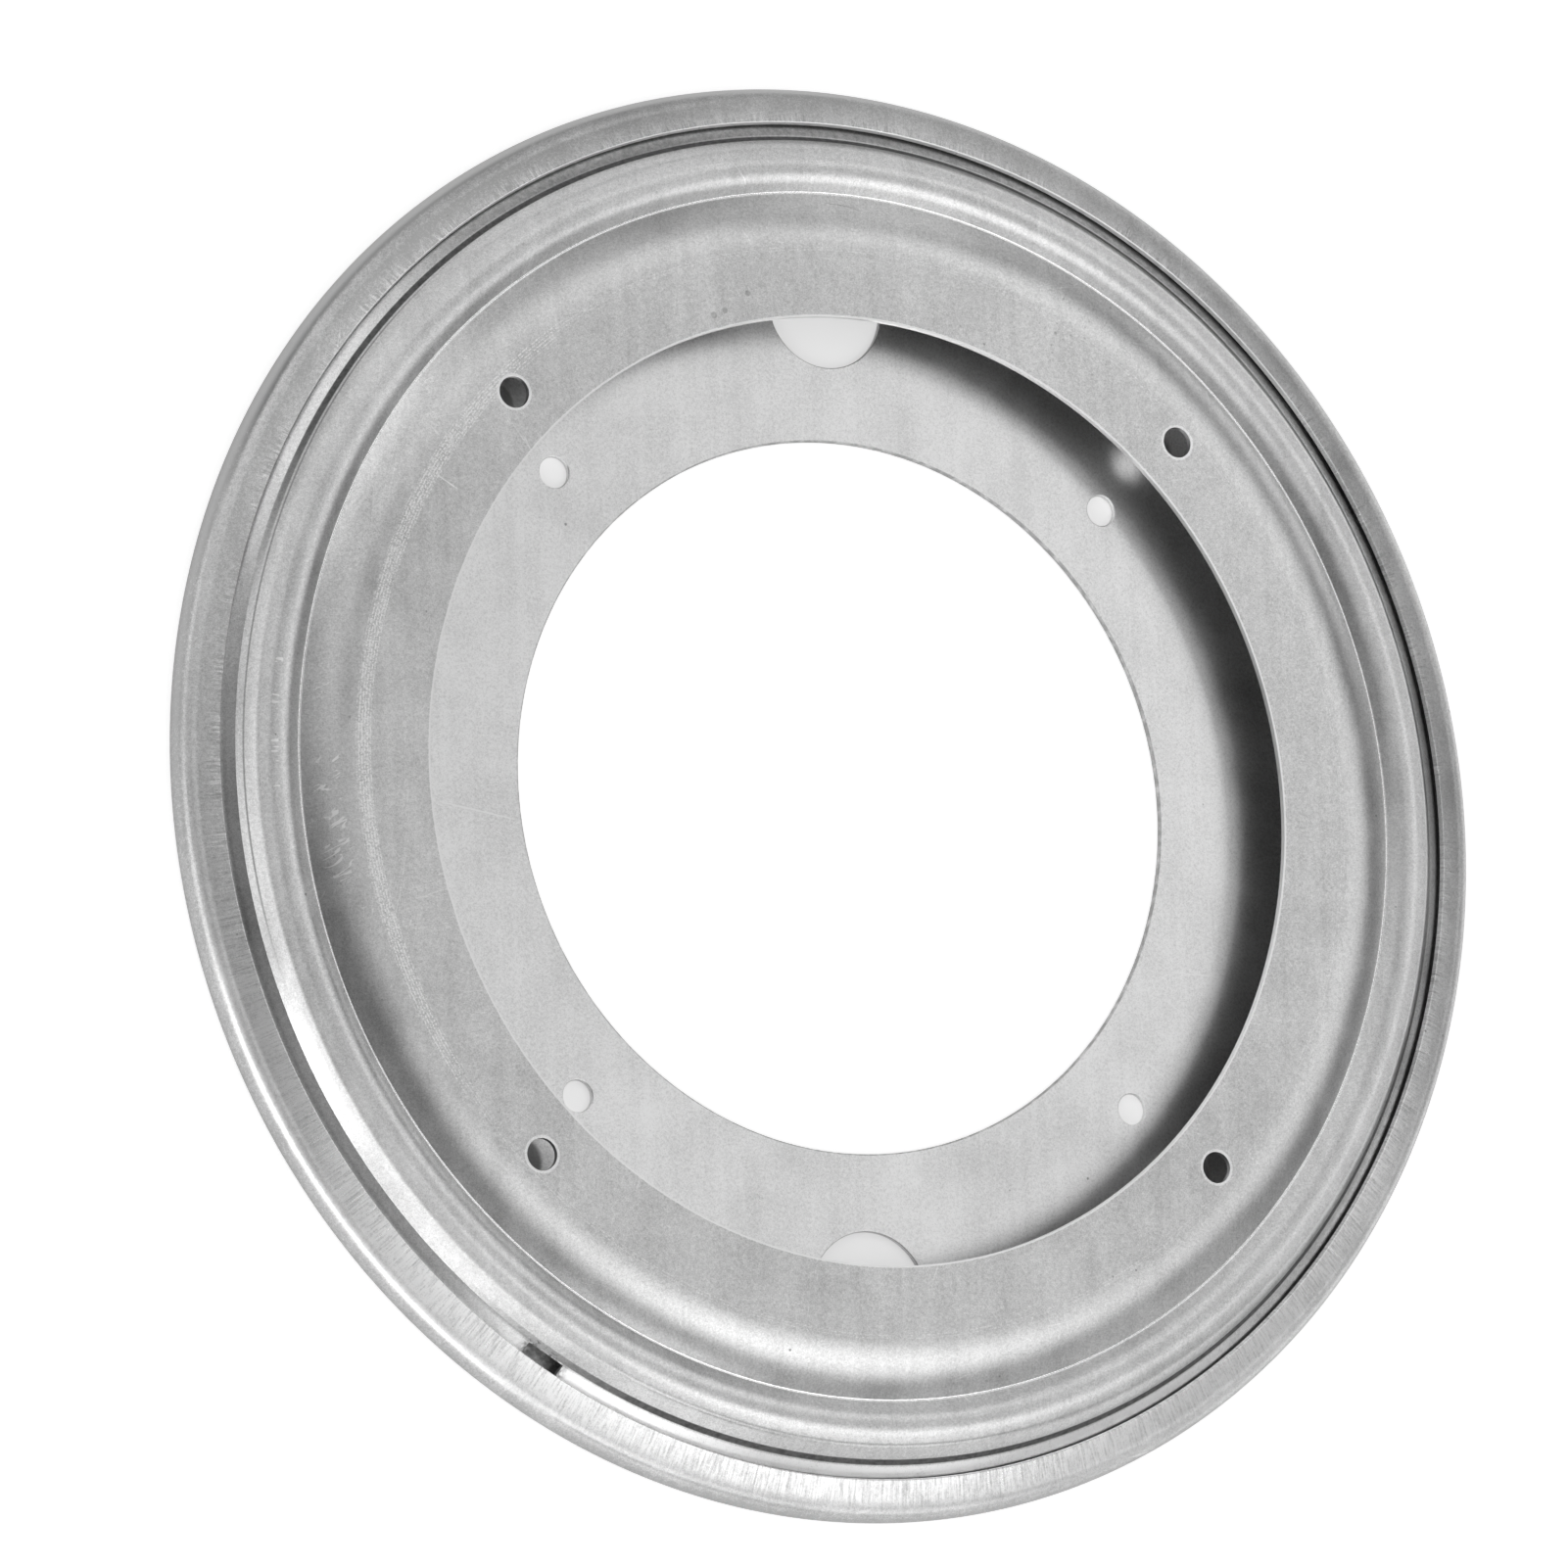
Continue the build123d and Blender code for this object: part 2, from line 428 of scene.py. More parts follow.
def in_millimetres(tree):
    """The piece's own coordinates, in millimetres."""
    place = put(tree, "ShaderNodeTexCoord").outputs["Object"]
    return put(tree, "ShaderNodeVectorMath", {0: place, "Scale": 1.0 / MM}, operation="SCALE").outputs[0]


def flattened(tree, mm):
    """Coordinates with their height taken out."""
    return put(tree, "ShaderNodeVectorMath", {0: mm, 1: (1.0, 1.0, 0.0)}, operation="MULTIPLY").outputs[0]


def band(tree, radius, inner, outer, soft):
    """1 on a ring between two radii in millimetres, 0 away from it."""
    rise = spread(tree, radius, inner - soft, inner, soft=True)
    fall = spread(tree, radius, outer, outer + soft, 1.0, 0.0, soft=True)
    return times(tree, rise, fall)


def sector(tree, heading, azimuth, half, soft):
    """1 within a range of directions round the axis, in degrees."""
    towards = (cos(radians(azimuth)), sin(radians(azimuth)), 0.0)
    nearness = put(tree, "ShaderNodeVectorMath", {0: heading, 1: towards}, operation="DOT_PRODUCT").outputs["Value"]
    return spread(tree, nearness, cos(radians(half + soft)), cos(radians(half)), soft=True)


def spot(tree, mm, radius, azimuth, reach, soft):
    """1 near one place on a plate, given by its radius and direction."""
    centre = (radius * cos(radians(azimuth)), radius * sin(radians(azimuth)), 0.0)
    wires = {0: flattened(tree, mm), 1: centre}
    away = put(tree, "ShaderNodeVectorMath", wires, operation="DISTANCE").outputs["Value"]
    return spread(tree, away, reach, reach + soft, 1.0, 0.0, soft=True)


def stretch(tree, mm, turn, across, along):
    """Coordinates turned about Z and squeezed, so that noise on them runs in streaks."""
    turned = put(tree, "ShaderNodeVectorRotate", {0: mm, "Angle": radians(turn)}, rotation_type="Z_AXIS").outputs[0]
    return put(tree, "ShaderNodeVectorMath", {0: turned, 1: (across, along, 0.3)}, operation="MULTIPLY").outputs[0]


def hairs(tree, mm, turn, across, along, width, clump):
    """Long hair scratches in one direction, broken up into clumps."""
    field = mottle(tree, stretch(tree, mm, turn, across, along), 1.0, 1.0, 0.3)
    line = spread(tree, reckon(tree, "ABSOLUTE", reckon(tree, "SUBTRACT", field, 0.5)), 0.0, width, 1.0, 0.0)
    here = spread(tree, mottle(tree, mm, clump, 2.0, 0.5), 0.52, 0.66, soft=True)
    return times(tree, line, here)


def scar(tree, mm, x, y, turn, half, width):
    """One straight scratch through a place on the plate, in millimetres and degrees."""
    moved = put(tree, "ShaderNodeVectorMath", {0: mm, 1: (x, y, 0.0)}, operation="SUBTRACT").outputs[0]
    wires = {0: moved, "Angle": radians(-turn)}
    turned = put(tree, "ShaderNodeVectorRotate", wires, rotation_type="Z_AXIS").outputs[0]
    apart = put(tree, "ShaderNodeSeparateXYZ", {0: turned})
    across = spread(tree, reckon(tree, "ABSOLUTE", apart.outputs[1]), 0.0, width, 1.0, 0.0)
    along = spread(tree, reckon(tree, "ABSOLUTE", apart.outputs[0]), half * 0.5, half, 1.0, 0.0, soft=True)
    return times(tree, across, along)


def ring_of_spots(tree, mm, circle, reach, soft):
    """1 near each of the screw places on a circle."""
    return most(tree, *(spot(tree, mm, circle, azimuth, reach, soft) for azimuth in SCREW_AZIMUTHS))


def around_axis(tree, radius, heading, reach, lift):
    """Coordinates that run round the axis, so that noise on them makes radial strokes."""
    rim = put(tree, "ShaderNodeVectorMath", {0: heading, "Scale": reach}, operation="SCALE").outputs[0]
    height = put(tree, "ShaderNodeCombineXYZ", {2: times(tree, radius, lift)}).outputs[0]
    return put(tree, "ShaderNodeVectorMath", {0: rim, 1: height}, operation="ADD").outputs[0]


def pressed_zinc(name, finish, levels, lightness, marks):
    """Satin zinc-coated sheet: fine grain, dull patches, rolling streaks, pits, hair scratches, and each plate's own
    marks with its painted light and shade.
    """
    steel, tree, shader = new_material(name)
    mm = in_millimetres(tree)
    flat = flattened(tree, mm)
    radius = put(tree, "ShaderNodeVectorMath", {0: flat}, operation="LENGTH").outputs["Value"]
    heading = put(tree, "ShaderNodeVectorMath", {0: flat}, operation="NORMALIZE").outputs[0]

    grain = mottle(tree, mm, 1.9, 3.0, 0.65)
    fine = mottle(tree, mm, 5.5, 1.0, 0.5)
    cloud = mottle(tree, mm, 0.03, 4.0, 0.6)
    patch = mottle(tree, mm, 0.13, 3.0, 0.6)
    streak = mottle(tree, stretch(tree, mm, 0.0, 0.55, 0.025), 1.0, 2.0, 0.5)
    scratch = most(
        tree,
        hairs(tree, mm, 12.0, 0.9, 0.02, 0.006, 0.05),
        hairs(tree, mm, 78.0, 0.7, 0.02, 0.006, 0.06),
        hairs(tree, mm, -38.0, 0.8, 0.03, 0.005, 0.07),
    )
    light = plus(
        tree,
        lightness,
        swing(tree, cloud, 0.4),
        swing(tree, patch, 0.35),
        swing(tree, streak, 0.3),
        swing(tree, grain, 0.9),
        swing(tree, fine, 0.9),
        times(tree, scratch, 0.35),
    )
    rough = plus(tree, 0.31, swing(tree, patch, 0.1), swing(tree, cloud, 0.1))
    height = plus(tree, times(tree, grain, 0.75), times(tree, fine, 0.25))
    pits = put(tree, "ShaderNodeTexVoronoi", {"Vector": mm, "Scale": 0.22, "Randomness": 1.0}, feature="F1")
    few = spread(tree, mottle(tree, mm, 0.09, 1.0, 0.5), 0.5, 0.62)
    pit = times(tree, spread(tree, pits.outputs["Distance"], 0.035, 0.06, 1.0, 0.0), few)

    light, rough, height, dirt_and_shade = marks(tree, mm, radius, heading, levels, light, rough, height)
    dirt_and_shade = reckon(tree, "MAXIMUM", dirt_and_shade, times(tree, pit, 0.6), clamp=True)
    held = spread(tree, light, 0.0, 1.0)
    clean = blend_tones(tree, held, rgba(finish.zinc_dark), rgba(finish.zinc_light))
    # The dark tone covers real soiling and painted shade alike.
    colour = blend_tones(tree, dirt_and_shade, clean, rgba(finish.grime_and_shade))
    tree.links.new(colour, shader.inputs["Base Color"])
    rough = reckon(tree, "ADD", rough, times(tree, dirt_and_shade, 0.3), clamp=True)
    tree.links.new(rough, shader.inputs["Roughness"])
    tree.links.new(spread(tree, dirt_and_shade, 0.0, 1.0, 1.0, 0.35), shader.inputs["Metallic"])
    bump = put(tree, "ShaderNodeBump", {"Strength": 0.4, "Distance": 0.02 * MM, "Height": height})
    tree.links.new(bump.outputs[0], shader.inputs["Normal"])
    return steel


def bore_edge_shade(tree, mm, radius, bore, reach, soft, least):
    """Uneven darkening along a bore, from its cut edge out onto the face: painted shade of the edge's rounding,
    uneven like its burrs.
    """
    uneven = spread(tree, mottle(tree, mm, 0.7), 0.3, 0.6, least, 1.0)
    return times(tree, band(tree, radius, bore - 1.0, bore + reach, soft), uneven)


def base_marks_and_painted_light(tree, mm, radius, heading, levels, light, rough, height):
    """The base plate's own marks and painted light: strokes across the rolled rim, scratches, painted light and
    shade by direction on the rim, roll, wall and outer face, a painted highlight along the mouth, and painted shade
    at the bore's sheared edge, under the turning plate and below its screw holes and window.
    """
    mouth = levels.mouth_r / MM
    rim = spread(tree, radius, mouth - 2.5, mouth - 0.5)
    outer_face = spread(tree, radius, mouth + 1.0, mouth + 4.0)
    roll = band(tree, radius, mouth + 3.9, mouth + 4.8, 0.6)
    wall = spread(tree, radius, mouth + 4.9, mouth + 6.3, soft=True)
    # Painted light and shade by direction round the axis: the rim is darker all round, less so at the front and
    # lighter at the front left; the wall is darker, least at the left; the roll is lighter at the left; the outer
    # face is darker at the back.
    front = sector(tree, heading, 260.0, 50.0, 45.0)
    front_left = sector(tree, heading, 220.0, 15.0, 20.0)
    left = sector(tree, heading, 150.0, 30.0, 25.0)
    back = sector(tree, heading, 95.0, 40.0, 35.0)
    # Painted highlight along the rim's mouth, towards the back.
    edge = times(tree, band(tree, radius, mouth - 0.3, mouth + 0.2, 0.15), sector(tree, heading, 90.0, 40.0, 30.0))
    light = plus(
        tree,
        light,
        times(tree, rim, spread(tree, front, 0.0, 1.0, -0.4, -0.14)),
        times(tree, rim, plus(tree, times(tree, left, -0.2), times(tree, front_left, 0.16))),
        times(tree, wall, spread(tree, left, 0.0, 1.0, -0.7, -0.3)),
        times(tree, roll, left, 0.3),
        times(tree, back, outer_face, -0.3),
        edge,
    )
    rough = plus(tree, rough, times(tree, wall, 0.1), times(tree, roll, 0.12))

    stroke_at = around_axis(tree, radius, heading, 112.0, 0.1)
    stroke = mottle(tree, stroke_at, 2.8, 2.0, 0.6)
    sparse = mottle(tree, stroke_at, 0.14, 2.0, 0.5)
    reach = reckon(tree, "MULTIPLY_ADD", front, 2.4, mouth - 0.5)
    ends = reckon(tree, "MULTIPLY_ADD", mottle(tree, stroke_at, 0.9, 2.0, 0.6), 5.0, reach)
    short = spread(tree, reckon(tree, "SUBTRACT", ends, radius), 0.0, 1.2)
    dense = most(tree, spread(tree, sparse, 0.42, 0.58), times(tree, front, 0.9))
    brushed = times(tree, rim, short, dense)
    deep = reckon(tree, "SUBTRACT", stroke, 0.48)
    hair = most(
        tree,
        scar(tree, mm, -64.3, -5.2, -10.0, 7.5, 0.16),
        scar(tree, mm, 62.3, -26.9, -3.2, 5.0, 0.12),
        scar(tree, mm, 53.8, -42.7, -36.4, 2.4, 0.14),
    )
    light = plus(tree, light, times(tree, deep, brushed, 2.2), times(tree, hair, 0.6))
    rough = plus(tree, rough, times(tree, deep, brushed, -0.2))
    height = plus(tree, height, times(tree, stroke, brushed, 0.9))

    # Painted shade along the bore's cut edge.
    sheared = bore_edge_shade(tree, mm, radius, levels.base_bore_r / MM, 0.12, 0.2, 0.4)
    # Painted shade under the turning plate's bead: a mottled darker band on the base.
    under_plate_mottle = spread(tree, mottle(tree, mm, 0.4, 3.0, 0.6), 0.45, 0.75)
    foot = times(tree, band(tree, radius, 92.0, 106.0, 0.5), under_plate_mottle)
    # Painted shade where the window looks down onto the base: a blotchy dark patch below the rim's level.
    window_shade_mottle = spread(tree, mottle(tree, mm, 1.3, 3.0, 0.6), 0.35, 0.65, 0.25, 0.6)
    level = put(tree, "ShaderNodeSeparateXYZ", {0: mm}).outputs[2]
    below_rim = spread(tree, level, 2.4, 3.0, 1.0, 0.0)
    window_shade = times(tree, spot(tree, mm, 106.0, WINDOW_AZIMUTH, 6.0, 3.0), below_rim, window_shade_mottle)
    # Painted shade on the base where the turning plate's screw holes look down onto it.
    under_screws = ring_of_spots(tree, mm, levels.top_screw_r / MM, 3.2, 1.0)
    dirt_and_shade = most(tree, times(tree, foot, 0.35), times(tree, sheared, 0.55), window_shade, times(tree, under_screws, 0.65))
    return light, rough, height, dirt_and_shade


def turning_marks_and_painted_light(tree, mm, radius, heading, levels, light, rough, height):
    """The turning plate's own marks and painted light: a rubbed bend, scuffs, dried drops, specks and muck by the
    window; painted highlights at the valley, along the bead's shoulder, round the bore and the screw holes and on
    the lip's front; painted shade in the crease, on the lip's back and under the rim.
    """
    bore = levels.top_bore_r / MM
    valley = levels.valley_r / MM
    shoulder = levels.shoulder_r / MM
    foot = levels.crease_r / MM

    speck = spread(tree, mottle(tree, around_axis(tree, radius, heading, 87.0, 1.0), 3.4, 2.0, 0.6), 0.46, 0.6)
    rings = spread(tree, reckon(tree, "SINE", times(tree, radius, 13.0)), 0.0, 0.8, 0.1, 1.0)
    left = sector(tree, heading, 170.0, 16.0, 34.0)
    narrow = times(tree, band(tree, radius, 86.7, 87.1, 0.4), 0.1)
    rubbed = most(tree, times(tree, band(tree, radius, 86.0, 87.7, 0.5), left), narrow)
    rubbed = times(tree, rubbed, rings, speck)
    # Painted highlight along the valley line: lighter and a little smoother there.
    pressed = band(tree, radius, valley - 0.12, valley + 0.12, 0.18)
    # Painted highlight along the bead's shoulder, kept off the front; it is also rougher there.
    away_from_front = spread(tree, sector(tree, heading, 275.0, 22.0, 22.0), 0.0, 1.0, 1.0, 0.15)
    shoulder_highlight = times(tree, band(tree, radius, shoulder - 1.0, shoulder + 0.5, 0.9), away_from_front)
    # Painted highlight round each screw hole.
    hole_edge_highlight = ring_of_spots(tree, mm, levels.top_screw_r / MM, 2.85, 0.2)
    # Painted highlight along the bore's edge.
    edge = spread(tree, radius, bore + 0.15, bore + 0.4, 1.0, 0.0)
    lip = band(tree, radius, 106.7, 109.0, 0.3)
    # Painted light on the lip towards the front.
    lip_front = times(tree, lip, sector(tree, heading, 268.0, 28.0, 18.0))

    scuff = hairs(tree, mm, 58.0, 1.3, 0.22, 0.05, 0.3)
    slope_left = times(tree, band(tree, radius, 90.8, 94.0, 1.0), sector(tree, heading, 183.0, 7.0, 5.0))
    dash = spread(tree, mottle(tree, around_axis(tree, radius, heading, 101.0, 0.12), 1.6, 1.0), 0.6, 0.68)
    on_bead = most(tree, sector(tree, heading, 173.0, 2.0, 2.0), sector(tree, heading, 180.3, 1.6, 1.2))
    dashes = times(tree, dash, on_bead, band(tree, radius, 100.6, 101.4, 0.3))
    cut = scar(tree, mm, -71.2, 44.3, -31.0, 2.4, 0.16)
    light = plus(
        tree,
        light,
        times(tree, rubbed, 3.2),
        times(tree, pressed, 0.5),
        times(tree, shoulder_highlight, 0.2),
        times(tree, hole_edge_highlight, 0.5),
        times(tree, scuff, slope_left, 3.0),
        times(tree, dashes, 2.0),
        times(tree, cut, 0.7),
        times(tree, lip_front, 0.6),
        edge,
    )
    rough = plus(tree, rough, times(tree, pressed, -0.1), times(tree, shoulder_highlight, 0.2))

    drops = put(tree, "ShaderNodeTexVoronoi", {"Vector": mm, "Scale": 0.32, "Randomness": 1.0}, feature="F1")
    drop_edge = reckon(tree, "ABSOLUTE", reckon(tree, "SUBTRACT", drops.outputs["Distance"], 0.2))
    drop = spread(tree, drop_edge, 0.02, 0.06, 1.0, 0.0)
    near_bore = spot(tree, mm, 77.5, 105.0, 4.0, 4.0)
    hair = most(tree, scar(tree, mm, 0.0, 94.6, -4.0, 3.6, 0.1), scar(tree, mm, 1.6, 94.3, -12.0, 2.6, 0.1))
    crumb = spread(tree, mottle(tree, mm, 1.1, 2.0, 0.5), 0.64, 0.72)
    top_right = spot(tree, mm, 88.5, 62.0, 6.0, 8.0)
    # Faint painted shade along the bore's cut edge.
    sheared = bore_edge_shade(tree, mm, radius, bore, 0.1, 0.15, 0.2)

    # Blotchy mottle for the muck by the window and for the painted shade on the lip and in the crease.
    muck_and_shade_mottle = spread(tree, mottle(tree, mm, 1.2, 3.0, 0.6), 0.4, 0.65)
    # Painted shade on the lip under the rim's mouth.
    under_rim = band(tree, radius, 109.0, 113.0, 0.7)
    # Painted shade on the lip towards the back.
    lip_back = times(tree, lip, sector(tree, heading, 85.0, 32.0, 20.0))
    # Painted shade in the crease at the bead's foot, on the back and front right sides.
    crease = band(tree, radius, foot - 0.15, foot + 0.5, 0.15)
    shaded_sides = most(tree, sector(tree, heading, 100.0, 45.0, 25.0), sector(tree, heading, 295.0, 45.0, 25.0))
    # A thin painted shade line on the bead's outer wall near the crease, at the left.
    line = times(tree, band(tree, radius, foot - 0.6, foot - 0.5, 0.1), sector(tree, heading, 165.0, 22.0, 15.0))
    by_window = times(tree, spot(tree, mm, 107.0, WINDOW_AZIMUTH, 3.0, 2.0), band(tree, radius, 105.8, 110.0, 0.3))
    dirt_and_shade = most(
        tree,
        times(tree, drop, near_bore, 0.35),
        times(tree, hair, 0.4),
        times(tree, crumb, top_right, 0.3),
        times(tree, sheared, 0.06),
        times(tree, under_rim, spread(tree, muck_and_shade_mottle, 0.0, 1.0, 0.55, 0.9)),
        times(tree, lip_back, spread(tree, muck_and_shade_mottle, 0.0, 1.0, 0.25, 0.5)),
        times(tree, crease, shaded_sides, spread(tree, muck_and_shade_mottle, 0.0, 1.0, 0.85, 0.95)),
        times(tree, line, 0.5),
        times(tree, by_window, muck_and_shade_mottle, 0.8),
    )
    return light, rough, height, dirt_and_shade


def ball_finish(name, finish):
    """Polished hardened steel with a trace of running marks."""
    steel, tree, shader = new_material(name)
    haze = mottle(tree, in_millimetres(tree), 0.8, 3.0, 0.55)
    colour = blend_tones(tree, haze, rgba(finish.zinc_dark), rgba(finish.ball_steel))
    tree.links.new(colour, shader.inputs["Base Color"])
    tree.links.new(spread(tree, haze, 0.3, 0.7, 0.06, 0.16), shader.inputs["Roughness"])
    shader.inputs["Metallic"].default_value = 1.0
    return steel


def cage_finish(name, finish):
    """Natural nylon, a little waxy, with smears of grease."""
    nylon, tree, shader = new_material(name)
    smear = mottle(tree, in_millimetres(tree), 0.12, 4.0, 0.6)
    colour = blend_tones(tree, spread(tree, smear, 0.4, 0.7), rgba(finish.nylon), rgba(finish.zinc_dark))
    tree.links.new(colour, shader.inputs["Base Color"])
    tree.links.new(spread(tree, smear, 0.3, 0.7, 0.5, 0.28), shader.inputs["Roughness"])
    return nylon


class BEARING_OT_base_plate(bpy.types.Operator):
    """Press the wide base plate with its ball groove and rolled rim"""

    bl_idname = "bearing.base_plate"
    bl_label = "Base Plate"

    def execute(self, context):
        sizes = context.scene.bearing_sizes
        at = Levels(sizes)
        bend = sizes.shoulder_bend_r
        corners = [
            (at.step_r, at.base, bend),
            (at.step_r + sizes.step_run, at.track, bend),
            (at.track_r - at.groove_half, at.track, bend),
            (at.track_r, at.groove, at.groove_bend),
            (at.track_r + at.groove_half, at.track, bend),
            (at.ridge_r, at.track, bend),
            (at.ridge_r + sizes.step_run, at.base, bend),
            (at.wall_r, at.base, sizes.rim_foot_r),
            (at.wall_r, at.rim_corner, at.rim_roll),
        ]
        start = (at.step_r - 0.7 * MM, at.base)
        holes = around(4, at.base_screw_r, pi / 4, sizes.screw_hole_d / 2)
        holes += around(2, at.access_r, pi / 2, sizes.access_hole_d / 2)
        bm = press_plate(sizes, start, corners, (at.mouth_r, at.mouth), at.base_bore_r, holes)
        zinc = pressed_zinc("zinc_sheet_base", context.scene.bearing_finish, at, 0.84, base_marks_and_painted_light)
        finish_plate(bm, "base_pressing", sizes, zinc, "base", "base_plate")
        return {"FINISHED"}


class BEARING_OT_turning_plate(bpy.types.Operator):
    """Press the turning plate with its flange, valley, bead and lip"""

    bl_idname = "bearing.turning_plate"
    bl_label = "Turning Plate"

    def execute(self, context):
        sizes = context.scene.bearing_sizes
        at = Levels(sizes)
        tight = sizes.tight_bend_r
        corners = [
            (at.flange_edge_r, at.flange, sizes.flange_bend_r),
            (at.valley_r, at.valley, tight),
            (at.apex_r, at.apex, sizes.bead_bend_r),
            (at.shoulder_r, at.shoulder, sizes.bead_outer_r),
            (at.crease_r, at.crease, at.crease_bend),
            (at.lip_bend_r, at.lip, tight),
        ]
        start = (at.flange_edge_r - sizes.flange_bend_r * tan(sizes.flange_slope / 2) - 0.4 * MM, at.flange)
        holes = around(4, at.top_screw_r, pi / 4, sizes.screw_hole_d / 2)
        bm = press_plate(sizes, start, corners, (at.lip_edge_r, at.lip), at.top_bore_r, holes)
        cut_window(bm, sizes, at)
        zinc = pressed_zinc("zinc_sheet_turning", context.scene.bearing_finish, at, 0.42, turning_marks_and_painted_light)
        finish_plate(bm, "turning_pressing", sizes, zinc, "turntable", "turning_plate")
        return {"FINISHED"}


class BEARING_OT_ball_ring(bpy.types.Operator):
    """Finish the balls and the cage that keeps them apart"""

    bl_idname = "bearing.ball_ring"
    bl_label = "Ball Ring"

    def execute(self, context):
        finish = context.scene.bearing_finish
        polished = ball_finish("ball_steel", finish)
        nylon = cage_finish("cage_nylon", finish)
        for name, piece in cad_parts.items():
            if name.startswith("ball_"):
                piece.data.materials.clear()
                piece.data.materials.append(nylon if name == "ball_cage" else polished)
        return {"FINISHED"}


def lamp(name, azimuth, elevation, distance, side, power):
    """A soft box that looks at the bearing from a compass direction, counted from +X."""
    data = bpy.data.lights.new(name, "AREA")
    data.shape = "RECTANGLE"
    data.size = side
    data.size_y = side
    data.energy = power
    box = bpy.data.objects.new(name, data)
    bpy.context.scene.collection.objects.link(box)
    az = radians(azimuth)
    el = radians(elevation)
    direction = Vector((cos(az) * cos(el), sin(az) * cos(el), sin(el)))
    box.location = direction * distance
    box.rotation_euler = direction.to_track_quat("Z", "Y").to_euler()


def floor_paint(name, colour):
    """Matt paint that the camera and the steel see as white; a painted shadow of the bearing, a ring from 60 to 100
    mm out, makes it duller to the camera.
    """
    paint, tree, shader = new_material(name)
    tree.nodes.remove(shader)
    matt = put(tree, "ShaderNodeBsdfDiffuse", {"Color": rgba(colour)})
    path = put(tree, "ShaderNodeLightPath")
    shade = put(tree, "ShaderNodeAmbientOcclusion", {"Distance": 25 * MM}, samples=3).outputs["AO"]
    mirrored = most(tree, path.outputs["Is Glossy Ray"], path.outputs["Is Transmission Ray"])
    place = put(tree, "ShaderNodeTexCoord").outputs["Object"]
    away = put(tree, "ShaderNodeVectorMath", {0: place}, operation="LENGTH").outputs["Value"]
    # Painted shadow of the bearing on the floor: this ring sends less light to the camera.
    painted_floor_shadow = band(tree, away, 60 * MM, 100 * MM, 2 * MM)
    seen = times(tree, path.outputs["Is Camera Ray"], spread(tree, painted_floor_shadow, 0.0, 1.0, 0.7, 0.5))
    strength = most(tree, seen, times(tree, mirrored, shade, 0.6))
    lift = put(tree, "ShaderNodeEmission", {"Color": (1, 1, 1, 1), "Strength": strength})
    both = put(tree, "ShaderNodeAddShader", {0: matt.outputs[0], 1: lift.outputs[0]})
    tree.links.new(both.outputs[0], tree.nodes["Material Output"].inputs["Surface"])
    return paint


def studio(name):
    """A room that is white to the camera, with a cove of light that fades upwards from the horizon."""
    world = bpy.data.worlds.new(name)
    world.use_nodes = True
    tree = world.node_tree
    seen = put(tree, "ShaderNodeLightPath").outputs["Is Camera Ray"]
    towards = put(tree, "ShaderNodeSeparateXYZ", {0: put(tree, "ShaderNodeNewGeometry").outputs["Incoming"]})
    rise = reckon(tree, "ABSOLUTE", towards.outputs[2])
    cove = spread(tree, rise, 0.12, 0.4, 0.52, 0.03, soft=True)
    room = tree.nodes["Background"]
    room.inputs["Color"].default_value = (1, 1, 1, 1)
    tree.links.new(most(tree, seen, cove), room.inputs["Strength"])
    return world


def place_camera(scene):
    """Puts the camera where the photograph's stood, as fitted to the rings and the screw holes."""
    data = bpy.data.cameras.new("camera")
    data.sensor_width = 36.0
    data.lens = CAMERA_LENS
    camera = bpy.data.objects.new("camera", data)
    scene.collection.objects.link(camera)
    right = Vector(CAMERA_RIGHT)
    back = right.cross(Vector(CAMERA_UP)).normalized()
    up = back.cross(right).normalized()
    turn = Matrix((right.normalized(), up, back)).transposed()
    camera.matrix_world = Matrix.Translation(CAMERA_PLACE) @ turn.to_4x4()
    scene.camera = camera


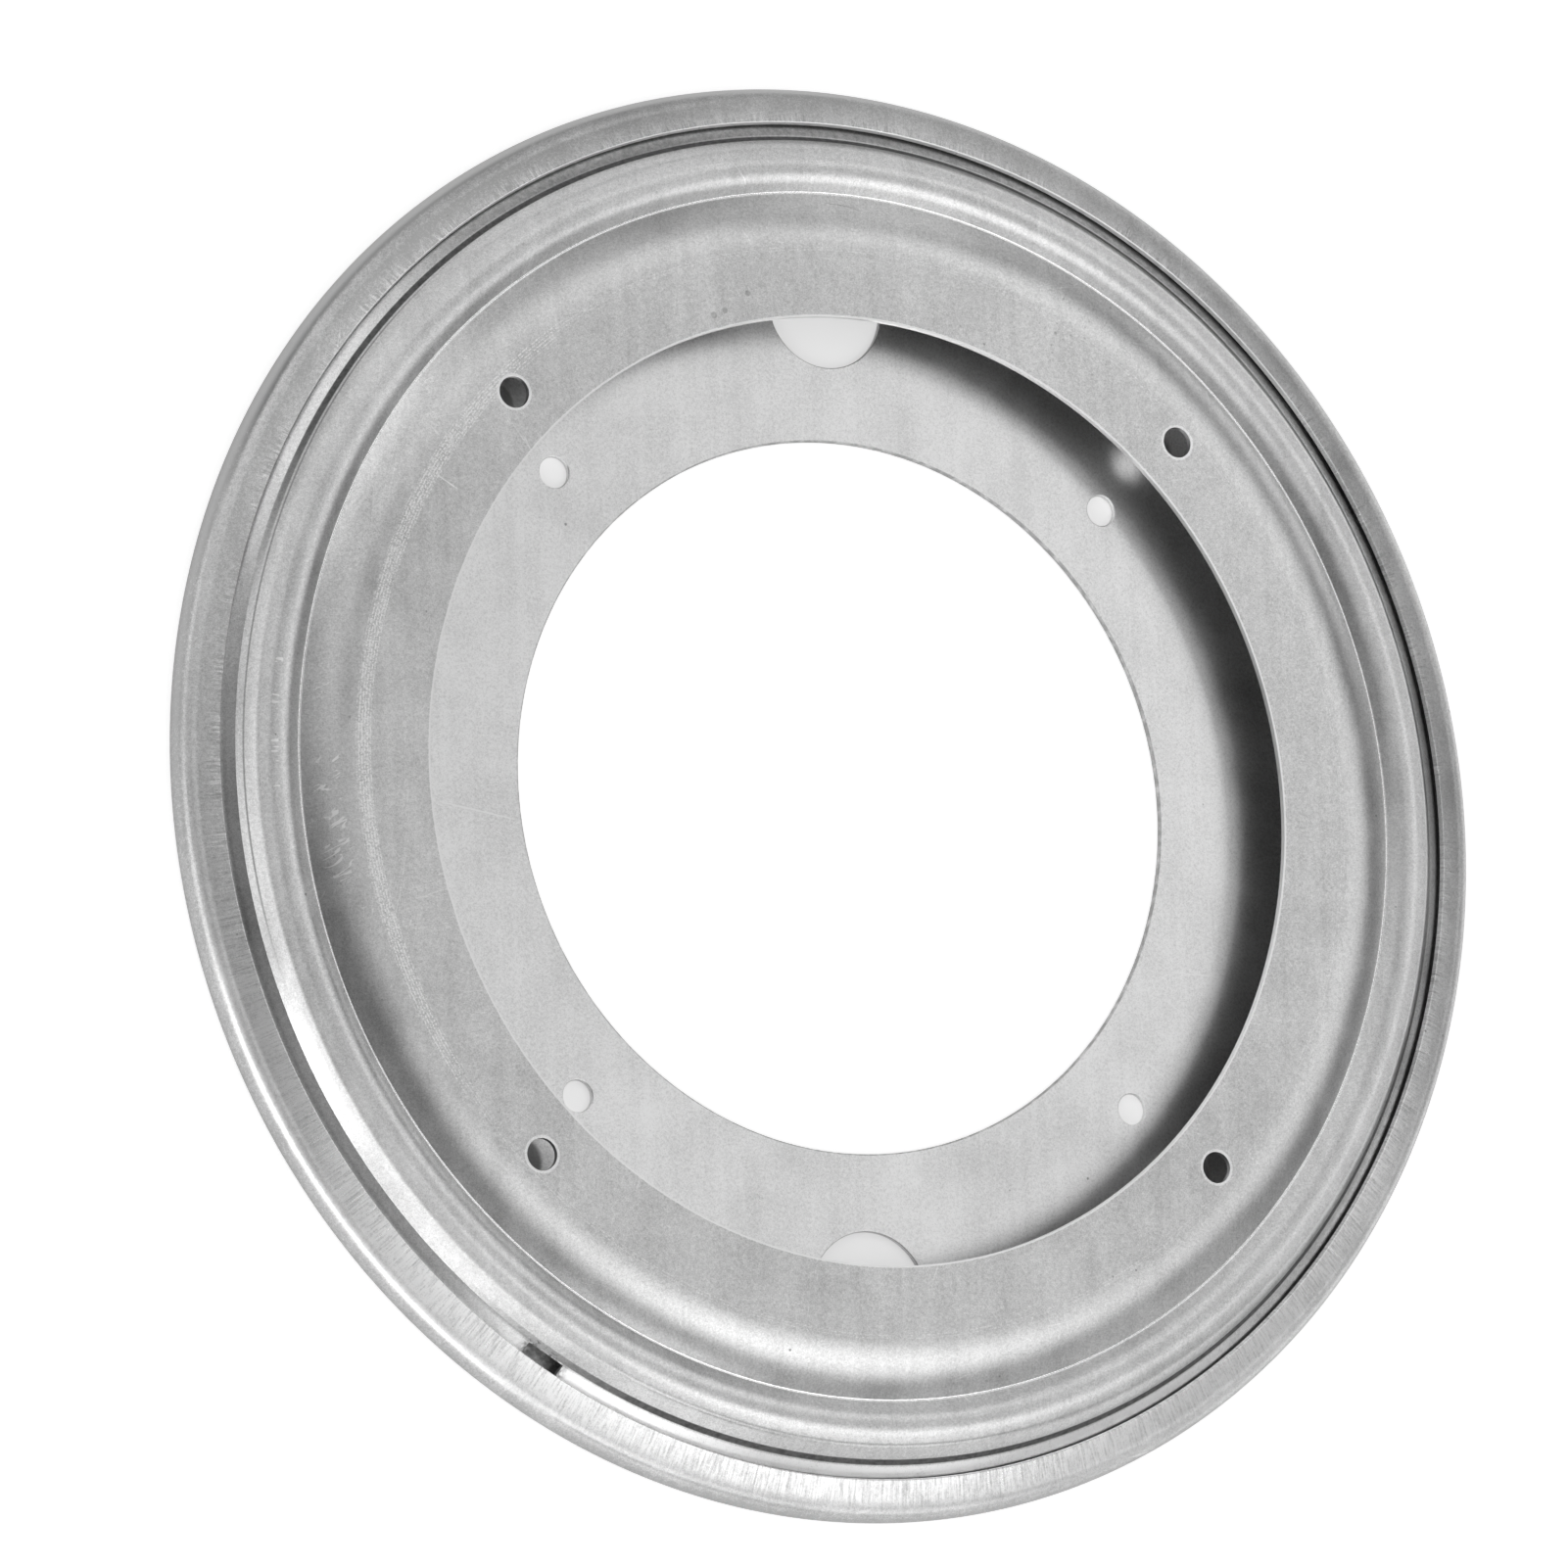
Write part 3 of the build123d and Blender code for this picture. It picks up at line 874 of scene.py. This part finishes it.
class BEARING_OT_stage(bpy.types.Operator):
    """Lay the floor, hang the lamps and place the camera"""

    bl_idname = "bearing.stage"
    bl_label = "Stage"

    def execute(self, context):
        stage = context.scene.bearing_stage
        bm = bmesh.new()
        bmesh.ops.create_grid(bm, x_segments=1, y_segments=1, size=stage.floor_span / 2)
        mesh = bpy.data.meshes.new("floor")
        bm.to_mesh(mesh)
        bm.free()
        floor = bpy.data.objects.new("floor", mesh)
        floor.location.z = -0.05 * MM
        context.scene.collection.objects.link(floor)
        mesh.materials.append(floor_paint("floor_paint", stage.floor))
        context.scene.world = studio("studio")
        for name, azimuth, elevation, power in LAMPS:
            lamp(name, azimuth, elevation, stage.lamp_distance, stage.lamp_side, power)
        place_camera(context.scene)
        context.scene.view_settings.view_transform = "Standard"
        return {"FINISHED"}


class BEARING_PT_panel(bpy.types.Panel):
    """Sizes, finishes and the steps that build the bearing"""

    bl_idname = "BEARING_PT_panel"
    bl_label = "Lazy Susan Bearing"
    bl_space_type = "VIEW_3D"
    bl_region_type = "UI"
    bl_category = "Bearing"

    def draw(self, context):
        for step in STEPS:
            self.layout.operator(step.bl_idname)
        for group in (context.scene.bearing_sizes, context.scene.bearing_finish, context.scene.bearing_stage):
            box = self.layout.box()
            for key in group.__annotations__:
                box.prop(group, key)


STEPS = (BEARING_OT_base_plate, BEARING_OT_turning_plate, BEARING_OT_ball_ring, BEARING_OT_stage)
GROUPS = (BearingSizes, BearingFinish, BearingStage)


def register():
    for part in (*GROUPS, *STEPS, BEARING_PT_panel):
        bpy.utils.register_class(part)
    bpy.types.Scene.bearing_sizes = PointerProperty(type=BearingSizes)
    bpy.types.Scene.bearing_finish = PointerProperty(type=BearingFinish)
    bpy.types.Scene.bearing_stage = PointerProperty(type=BearingStage)


def unregister():
    del bpy.types.Scene.bearing_stage
    del bpy.types.Scene.bearing_finish
    del bpy.types.Scene.bearing_sizes
    for part in (BEARING_PT_panel, *reversed(STEPS), *reversed(GROUPS)):
        bpy.utils.unregister_class(part)


def main():
    register()
    bpy.ops.bearing.base_plate()
    bpy.ops.bearing.turning_plate()
    bpy.ops.bearing.ball_ring()
    bpy.ops.bearing.stage()


if __name__ == "__main__":
    main()
